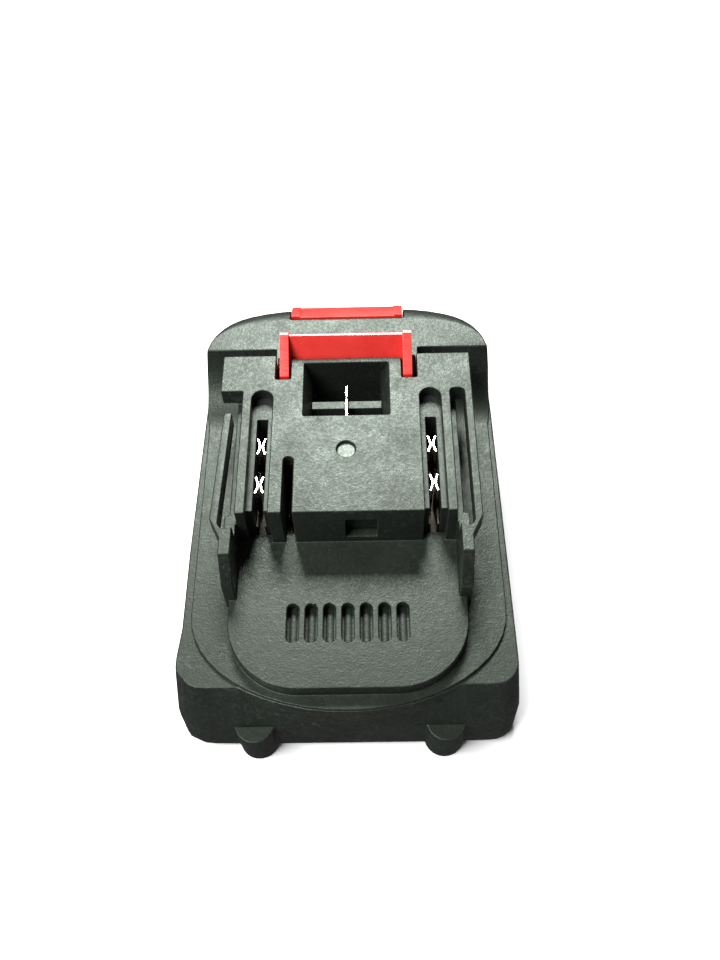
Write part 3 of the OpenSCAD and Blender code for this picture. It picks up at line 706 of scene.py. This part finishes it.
class Bench:
    """Steps that shape meshes with Blender's own tools."""

    @staticmethod
    def clear() -> None:
        """Leave edit mode and select nothing."""
        if bpy.context.object and bpy.context.object.mode != "OBJECT":
            bpy.ops.object.mode_set(mode="OBJECT")
        bpy.ops.object.select_all(action="DESELECT")

    @staticmethod
    def take(piece: bpy.types.Object) -> None:
        """Make one piece the only selected object.

        Args:
            piece: the piece.
        """
        Bench.clear()
        piece.select_set(True)
        bpy.context.view_layer.objects.active = piece

    @staticmethod
    def pick(
        piece: bpy.types.Object,
        inside: Callable[[Vector], bool],
        element: Element = Element.POINT,
    ) -> None:
        """Go into edit mode with one part of the mesh selected.

        Args:
            piece: the mesh object.
            inside: says whether a point is picked.
            element: what is picked; an edge or face is picked with all its points.
        """
        Bench.take(piece)
        bpy.ops.object.mode_set(mode="EDIT")
        bpy.ops.mesh.select_mode(type="VERT")
        bpy.ops.mesh.select_all(action="DESELECT")
        mesh = bmesh.from_edit_mesh(piece.data)
        for point in mesh.verts:
            point.select = inside(point.co / MM)
        mesh.select_flush_mode()
        bmesh.update_edit_mesh(piece.data)
        if element is not Element.POINT:
            bpy.ops.mesh.select_mode(type=element.value)

    @staticmethod
    def shift(piece: bpy.types.Object, inside: Callable[[Vector], bool], way: Point) -> None:
        """Move some points.

        Args:
            piece: the mesh object.
            inside: says whether a point moves.
            way: how far it moves on each axis.
        """
        Bench.pick(piece, inside)
        bpy.ops.transform.translate(value=Vector(way) * MM)
        Bench.clear()

    @staticmethod
    def settle(piece: bpy.types.Object) -> None:
        """Put the object at the origin, with its place in its mesh."""
        Bench.take(piece)
        bpy.ops.object.transform_apply(location=True, rotation=True, scale=True)

    @staticmethod
    def merge(piece: bpy.types.Object) -> None:
        """Make one clean mesh of loose triangles, with faces that point outwards.

        Args:
            piece: the mesh object.
        """
        Bench.take(piece)
        bpy.ops.object.mode_set(mode="EDIT")
        bpy.ops.mesh.select_all(action="SELECT")
        bpy.ops.mesh.remove_doubles(threshold=MERGE_GAP * MM)
        bpy.ops.mesh.dissolve_degenerate(threshold=MERGE_GAP * MM)
        bpy.ops.mesh.dissolve_limited(angle_limit=math.radians(FLAT_TURN))
        bpy.ops.mesh.normals_make_consistent(inside=False)
        bpy.ops.object.mode_set(mode="OBJECT")

    @staticmethod
    def round_edges(piece: bpy.types.Object, width: float, turn: float, held: bool) -> None:
        """Round the sharp edges.

        Args:
            piece: the mesh object.
            width: width of the rounding.
            turn: edges that turn by more than this are rounded.
            held: whether short edges limit the width.
        """
        Bench.take(piece)
        bevel = piece.modifiers.new("edges", "BEVEL")
        bevel.width = width * MM
        bevel.segments = 2
        bevel.limit_method = "ANGLE"
        bevel.angle_limit = math.radians(turn)
        bevel.use_clamp_overlap = held
        bevel.miter_outer = "MITER_ARC"
        bpy.ops.object.modifier_apply(modifier=bevel.name)

    @staticmethod
    def round_picked(
        piece: bpy.types.Object, inside: Callable[[Vector], bool], width: float
    ) -> None:
        """Round some edges more than the rest.

        Args:
            piece: the mesh object.
            inside: says whether a point belongs to these edges.
            width: width of the rounding.
        """
        Bench.pick(piece, inside, Element.EDGE)
        bpy.ops.mesh.bevel(
            offset=width * MM, segments=3, affect="EDGES", clamp_overlap=True
        )
        Bench.clear()

    @staticmethod
    def smooth(piece: bpy.types.Object) -> None:
        """Shade the piece smooth, with sharp edges and flat faces kept.

        Args:
            piece: the mesh object.
        """
        Bench.take(piece)
        bpy.ops.object.shade_smooth_by_angle(angle=math.radians(SMOOTH_TURN))
        flat = piece.modifiers.new("flat", "WEIGHTED_NORMAL")
        flat.keep_sharp = True
        flat.weight = FLAT_WEIGHT
        bpy.ops.object.modifier_apply(modifier=flat.name)
        Bench.clear()


@dataclass
class Moulding:
    """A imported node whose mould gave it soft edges.

    edge is the width of their rounding, turn the angle from which an edge is rounded, and held
    says whether short edges limit the width.
    """

    node: str
    body: Body
    slot: Slot
    edge: float
    turn: float = 32.0
    held: bool = False

    def shape(self, piece: bpy.types.Object) -> None:
        """Give the copy the forms that only it has, which is none here."""

    def build(self, paints: Paintbox) -> None:
        """Copy the node, shape it, soften its edges and let the copy stand for it.

        Args:
            paints: the finishes.
        """
        piece = add_object(f"{self.node}_moulded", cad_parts[self.node].data.copy())
        Bench.merge(piece)
        self.shape(piece)
        Bench.round_edges(piece, self.edge, self.turn, self.held)
        Bench.smooth(piece)
        paints.dress(piece, self.slot)
        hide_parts(self.node)
        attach(piece, self.body.value)
        LOG.info("%s: %d faces", piece.name, len(piece.data.polygons))


@dataclass(frozen=True)
class Flare:
    """Side wall that is moved outwards in front of y, on side -1 or 1.

    A flare of 0 only draws the line on the wall from which the next one widens.
    """

    side: int
    y: float
    out: float


@dataclass
class LowerCase(Moulding):
    """Tub whose sides widen in steps towards the front corners, with tucked-in soles.

    A flare moves the points beyond wall_x, or beyond rim_x above rim_z. One that starts in front
    of front_y moves those beyond corner_x, because the front corners curve. The soles are the
    points beyond x and y of sole and below its z.
    """

    flares: tuple[Flare, ...] = (
        Flare(-1, -14.0, 0.8),
        Flare(-1, -34.0, 0.0),
        Flare(-1, -41.0, 0.7),
        Flare(1, -41.0, 0.6),
    )
    wall_x: float = 36.85
    rim_x: float = 37.4
    rim_z: float = 26.9
    corner_x: float = 33.4
    front_y: float = -40.0
    sole: Point = (28.0, -46.0, 1.9)
    tuck: float = 1.7

    def on_wall(self, p: Vector, flare: Flare) -> bool:
        """Say whether a point belongs to a flare.

        Args:
            p: the point.
            flare: the flare.

        Returns:
            True if it lies on the outside of the wall, in front of the flare's line.
        """
        if flare.y < self.front_y:
            reach = self.corner_x
        else:
            reach = self.rim_x if p.z > self.rim_z else self.wall_x
        return p.x * flare.side > reach and p.y < flare.y + NEAR

    def shape(self, piece: bpy.types.Object) -> None:
        """Widen the sides and tuck in the soles of the front corners.

        Args:
            piece: the copy.
        """
        for flare in self.flares:
            Bench.pick(piece, lambda p: p.x * flare.side > self.corner_x, Element.FACE)
            bpy.ops.mesh.bisect(plane_co=(0, flare.y * MM, 0), plane_no=(0, 1, 0))
            way = (flare.side * flare.out, 0, 0)
            Bench.shift(piece, lambda p: self.on_wall(p, flare), way)
        x, y, z = self.sole
        for side in (-1, 1):
            Bench.shift(
                piece,
                lambda p: p.x * side > x and p.y < y and p.z < z,
                (-side * self.tuck, self.tuck, 0),
            )


@dataclass
class UpperCase(Moulding):
    """Rail deck whose free left arm leans inwards, with a deep moulding gate.

    The arm's end lies beyond arm_x and above arm_z, within arm_y. The rear lip lies at lip_z
    behind lip_y.
    """

    arm_x: float = -28.9
    arm_y: Span = (13.4, 14.4)
    arm_z: float = 40.8
    arm_lean: float = 1.3
    gate: Point = (0.0, 2.8, 45.65)
    gate_r: float = 2.4
    gate_drop: float = 0.6
    lip_z: float = 27.0
    lip_y: float = 45.0
    lip_gap: float = 0.5

    def shape(self, piece: bpy.types.Object) -> None:
        """Merge the rear lip's near points, lean the arm and deepen the gate's recess.

        Args:
            piece: the copy.
        """
        Bench.pick(
            piece, lambda p: abs(p.z - self.lip_z) < MERGE_GAP and p.y > self.lip_y
        )
        bpy.ops.mesh.remove_doubles(threshold=self.lip_gap * MM)
        Bench.clear()
        y0, y1 = self.arm_y
        Bench.shift(
            piece,
            lambda p: p.x < self.arm_x and y0 < p.y < y1 and p.z > self.arm_z,
            (self.arm_lean, 0, 0),
        )
        gate = Vector(self.gate)
        Bench.shift(
            piece,
            lambda p: abs(p.z - gate.z) < NEAR and (p - gate).length < self.gate_r,
            (0, 0, -self.gate_drop),
        )


@dataclass
class GateStub:
    """Cut-off stub of the moulding gate, a dished disc in its recess in the deck."""

    centre: Point = (0.0, 2.8, 45.12)
    radius: float = 2.12
    thickness: float = 0.16
    rim: float = 0.25
    slope: float = 0.9
    dish: float = 0.06
    edge: float = 0.05
    sides: int = 48

    def build(self, paints: Paintbox) -> None:
        """Build the disc.

        Args:
            paints: the finishes.
        """
        Bench.clear()
        bpy.ops.mesh.primitive_cylinder_add(
            vertices=self.sides,
            radius=self.radius * MM,
            depth=self.thickness * MM,
            location=Vector(self.centre) * MM,
        )
        piece = bpy.context.object
        piece.name = "gate_stub"
        Bench.settle(piece)
        top = self.centre[2] + self.thickness / 2
        Bench.pick(piece, lambda p: p.z > top - NEAR, Element.FACE)
        bpy.ops.mesh.inset(thickness=self.rim * MM)
        bpy.ops.mesh.inset(thickness=self.slope * MM)
        bpy.ops.transform.translate(value=(0, 0, -self.dish * MM))
        Bench.clear()
        Bench.round_edges(piece, self.edge, SHARP_TURN, held=True)
        Bench.smooth(piece)
        paints.dress(piece, Slot.CASE, GATE_FINISH)
        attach(piece, Body.PACK.value)
        LOG.info("%s: %d faces", piece.name, len(piece.data.polygons))


@dataclass
class VentTray:
    """Dust tray under the vents, with one low ridge below each."""

    width: float = 32.0
    y_span: Span = (-41.6, -29.4)
    z_span: Span = (28.3, 29.78)
    rim: float = 0.9
    depth: float = 0.55
    edge: float = 0.15
    vents: int = 7
    pitch: float = 4.2
    ridge_r: float = 2.0
    ridge_h: float = 0.25
    ridge_play: float = 0.2
    ridge_root: float = 0.1
    sides: int = 64

    def build(self, paints: Paintbox) -> None:
        """Build the tray and its ridges as one piece.

        Args:
            paints: the finishes.
        """
        tray = self.tray()
        pieces = [tray, *self.ridges()]
        Bench.clear()
        for piece in pieces:
            piece.select_set(True)
        bpy.context.view_layer.objects.active = tray
        bpy.ops.object.join()
        Bench.smooth(tray)
        paints.dress(tray, Slot.CASE)
        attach(tray, Body.PACK.value)
        LOG.info("%s: %d faces", tray.name, len(tray.data.polygons))

    def tray(self) -> bpy.types.Object:
        """Return the bare tray with its sunk floor."""
        (y0, y1), (z0, z1) = self.y_span, self.z_span
        Bench.clear()
        bpy.ops.mesh.primitive_cube_add(
            size=1,
            location=(0, (y0 + y1) / 2 * MM, (z0 + z1) / 2 * MM),
            scale=(self.width * MM, (y1 - y0) * MM, (z1 - z0) * MM),
        )
        piece = bpy.context.object
        piece.name = "vent_tray"
        Bench.settle(piece)
        Bench.pick(piece, lambda p: p.z > z1 - NEAR, Element.FACE)
        bpy.ops.mesh.inset(thickness=self.rim * MM)
        bpy.ops.transform.translate(value=(0, 0, -self.depth * MM))
        Bench.clear()
        Bench.round_edges(piece, self.edge, SHARP_TURN, held=True)
        return piece

    def ridges(self) -> list[bpy.types.Object]:
        """Return one ridge below each vent, copied from the first one."""
        first = self.ridge()
        copies = []
        for i in range(self.vents):
            copy = add_object(f"ridge_{i}", first.data.copy())
            copy.location.x = (i - (self.vents - 1) / 2) * self.pitch * MM
            copies.append(copy)
        bpy.data.objects.remove(first)
        return copies

    def ridge(self) -> bpy.types.Object:
        """Return the top of a lying cylinder, as one low ridge that stands in the tray's floor."""
        y0, y1 = self.y_span
        floor = self.z_span[1] - self.depth
        Bench.clear()
        bpy.ops.mesh.primitive_cylinder_add(
            vertices=self.sides,
            radius=self.ridge_r * MM,
            depth=(y1 - y0 - 2 * self.rim - 2 * self.ridge_play) * MM,
            location=(0, (y0 + y1) / 2 * MM, (floor + self.ridge_h - self.ridge_r) * MM),
            rotation=(math.pi / 2, 0, 0),
        )
        piece = bpy.context.object
        Bench.settle(piece)
        Bench.take(piece)
        bpy.ops.object.mode_set(mode="EDIT")
        bpy.ops.mesh.select_all(action="SELECT")
        bpy.ops.mesh.bisect(
            plane_co=(0, 0, (floor - self.ridge_root) * MM),
            plane_no=(0, 0, 1),
            clear_inner=True,
            use_fill=True,
        )
        Bench.clear()
        return piece


@dataclass
class Case:
    """The two case halves, the terminal carrier, the gate's stub and the vent tray."""

    mouldings: tuple[Moulding, ...] = (
        LowerCase("lower_case", Body.PACK, Slot.CASE, edge=0.35),
        UpperCase("upper_case", Body.PACK, Slot.CASE, edge=0.28),
        Moulding("terminal_block", Body.PACK, Slot.INNER, edge=0.15),
    )
    gate: GateStub = field(default_factory=GateStub)
    tray: VentTray = field(default_factory=VentTray)

    def build(self, paints: Paintbox) -> None:
        """Build the mouldings and the small parts.

        Args:
            paints: the finishes.
        """
        for moulding in self.mouldings:
            moulding.build(paints)
        self.gate.build(paints)
        self.tray.build(paints)


@dataclass
class Hook(Moulding):
    """Hook whose bar and arms are well rounded above deck_z."""

    deck_z: float = 46.3
    rounding: float = 0.5

    def shape(self, piece: bpy.types.Object) -> None:
        """Round the bar and the arms."""
        Bench.round_picked(piece, lambda p: p.z > self.deck_z, self.rounding)


@dataclass
class Button(Moulding):
    """Button whose end faces, beyond end_x and above foot_z, have well rounded edges."""

    end_x: float = 14.8
    foot_z: float = 24.0
    rounding: float = 1.3

    def shape(self, piece: bpy.types.Object) -> None:
        """Round the edges of both end faces.

        Args:
            piece: the copy.
        """
        Bench.round_picked(
            piece, lambda p: abs(p.x) > self.end_x and p.z > self.foot_z, self.rounding
        )


@dataclass
class Latch:
    """The red hook and button."""

    mouldings: tuple[Moulding, ...] = (
        Hook("latch_hook", Body.LATCH, Slot.RED, edge=0.25, held=True),
        Button("release_button", Body.LATCH, Slot.RED, edge=0.2, held=True),
    )

    def build(self, paints: Paintbox) -> None:
        """Build the hook and the button."""
        for moulding in self.mouldings:
            moulding.build(paints)


@dataclass
class Contacts:
    """Sheet-metal contacts that show in the deck's slots, each with the width of its soft edges."""

    edges: dict[str, float] = field(
        default_factory=lambda: {
            "positive_terminal": 0.06,
            "negative_terminal": 0.06,
            "data_contact": 0.06,
            "centre_blade": 0.1,
        }
    )
    turn: float = 50.0

    def build(self, paints: Paintbox) -> None:
        """Build the contacts.

        Args:
            paints: the finishes.
        """
        for node, edge in self.edges.items():
            contact = Moulding(node, Body.PACK, Slot.CONTACT, edge, self.turn, held=True)
            contact.build(paints)


@dataclass
class Inside:
    """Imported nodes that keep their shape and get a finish."""

    slots: dict[str, Slot] = field(
        default_factory=lambda: {
            "latch_spring_left": Slot.SPRING,
            "latch_spring_right": Slot.SPRING,
            "circuit_board": Slot.BOARD,
            "board_components": Slot.COMPONENT,
            "board_screws": Slot.SCREW,
            "cell_holder_left": Slot.HOLDER,
            "cell_holder_right": Slot.HOLDER,
            **{f"cell_{i}": Slot.CELL for i in range(1, 6)},
            "cell_insulators": Slot.PAPER,
            "cell_links_left": Slot.NICKEL,
            "cell_links_right": Slot.NICKEL,
            "temperature_sensor": Slot.COMPONENT,
            "foam_pads": Slot.FOAM,
            "case_screws": Slot.SCREW,
        }
    )

    def build(self, paints: Paintbox) -> None:
        """Dress the nodes.

        Args:
            paints: the finishes.
        """
        for node, slot in self.slots.items():
            paints.dress_node(node, slot)
            LOG.info("%s: dressed as %s", node, slot.value)


@dataclass
class Lamp:
    """Square soft lamp that faces a point of the pack, with its place, size and aim in metres."""

    name: str
    place: Point
    size: float
    watts: float
    aim: Point = (0.0, 0.0, 0.03)

    def build(self) -> None:
        """Add the lamp and turn it."""
        data = bpy.data.lights.new(self.name, "AREA")
        data.size = self.size
        data.energy = self.watts
        lamp = add_object(self.name, data)
        back = Vector(self.place) - Vector(self.aim)
        turn = back.to_track_quat("Z", "Y").to_matrix().to_4x4()
        lamp.matrix_world = Matrix.Translation(self.place) @ turn


@dataclass
class Studio:
    """Pale floor, soft lamps and the camera, whose place is in millimetres.

    The floor's size is in metres. The camera looks straight down before it is tilted.
    """

    floor_size: float = 6.0
    floor_pale: Colour = (0.88, 0.88, 0.88)
    floor_grey: Colour = (0.86, 0.86, 0.86)
    cloud_size: float = 60.0
    sky: float = 0.1
    lens: float = 34.76
    sensor: float = 36.0
    near_clip: float = 10.0
    yaw: float = 1.448
    tilt: float = 32.352
    roll: float = -2.196
    place: Point = (6.143, -120.657, 227.001)
    lamps: tuple[Lamp, ...] = (
        Lamp("key", (-0.03, 0.65, 0.78), size=0.34, watts=18.5),
        Lamp("fill", (-0.5, -0.3, 0.9), size=0.5, watts=17.0),
    )

    def build(self) -> None:
        """Add the floor, the lamps, the sky and the camera."""
        self.floor()
        for lamp in self.lamps:
            lamp.build()
        world = bpy.data.worlds.new("studio")
        world.use_nodes = True
        background = world.node_tree.nodes["Background"]
        background.inputs["Color"].default_value = (*WHITE, 1)
        background.inputs["Strength"].default_value = self.sky
        bpy.context.scene.world = world
        bpy.context.scene.view_settings.view_transform = "Standard"
        self.camera()
        LOG.info("studio ready")

    def floor(self) -> None:
        """Lay the floor, which glossy walls don't mirror."""
        bpy.ops.mesh.primitive_plane_add(size=self.floor_size, location=(0, 0, 0))
        floor = bpy.context.object
        floor.name = "floor"
        recipe = Recipe("floor_paper", 0.9)
        cloud = recipe.noise(self.cloud_size)
        colour = recipe.mix(cloud, self.floor_grey, self.floor_pale)
        floor.data.materials.append(recipe.coat(colour=colour))
        floor.visible_glossy = False

    def camera(self) -> None:
        """Add the camera at the photograph's angle."""
        data = bpy.data.cameras.new("camera")
        data.lens = self.lens
        data.sensor_width = self.sensor
        data.clip_start = self.near_clip * MM
        camera = add_object("camera", data)
        camera.matrix_world = (
            Matrix.Translation(Vector(self.place) * MM)
            @ Matrix.Rotation(math.radians(self.yaw), 4, "Z")
            @ Matrix.Rotation(math.radians(self.tilt), 4, "X")
            @ Matrix.Rotation(math.radians(self.roll), 4, "Z")
        )
        bpy.context.scene.camera = camera


def main() -> None:
    """Build and dress the pack."""
    paints = Paintbox()
    Studio().build()
    for group in (Case(), Latch(), Contacts(), Inside()):
        group.build(paints)


if __name__ == "__main__":
    logging.basicConfig(level=logging.INFO)
    main()
